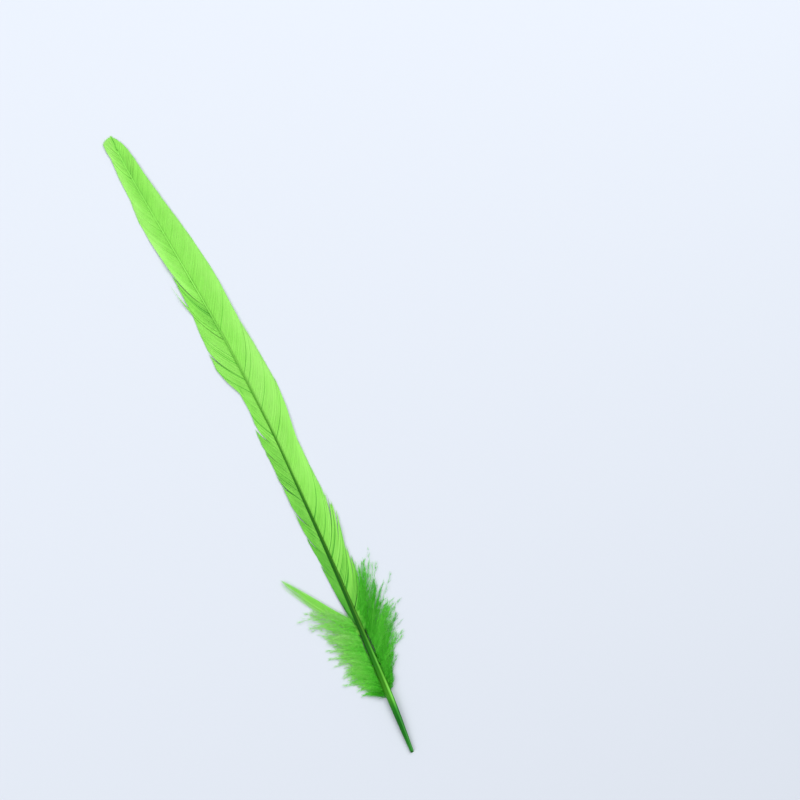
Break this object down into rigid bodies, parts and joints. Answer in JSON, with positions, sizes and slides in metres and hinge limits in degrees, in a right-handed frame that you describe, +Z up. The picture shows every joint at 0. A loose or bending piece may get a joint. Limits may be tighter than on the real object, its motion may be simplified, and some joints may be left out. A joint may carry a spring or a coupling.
{
  "type": "pheasant tail feather",
  "caption": "Long slim dyed tail feather lying flat: bare quill, tapering shaft, narrow and wide vane, downy tufts at the foot.",
  "frame": {"origin": "on the surface the feather lies on, at the middle of its footprint", "axes": "+Y along the feather from the cut quill end to the tip, +Z up out of the surface, the narrow outer vane towards -X"},
  "size_m": [0.0374, 0.298, 0.0035],
  "materials": {
    "shaft": "smooth dyed keratin, glossy",
    "vane": "fine dyed barbs with a soft sheen",
    "down": "fluffy dyed down, matt"
  },
  "bodies": {
    "root": {"shaft": "shaft", "outer_vane": "vane", "inner_vane": "vane", "outer_down": "down", "inner_down": "down", "loose_barbs": "vane"}
  },
  "joints": []
}
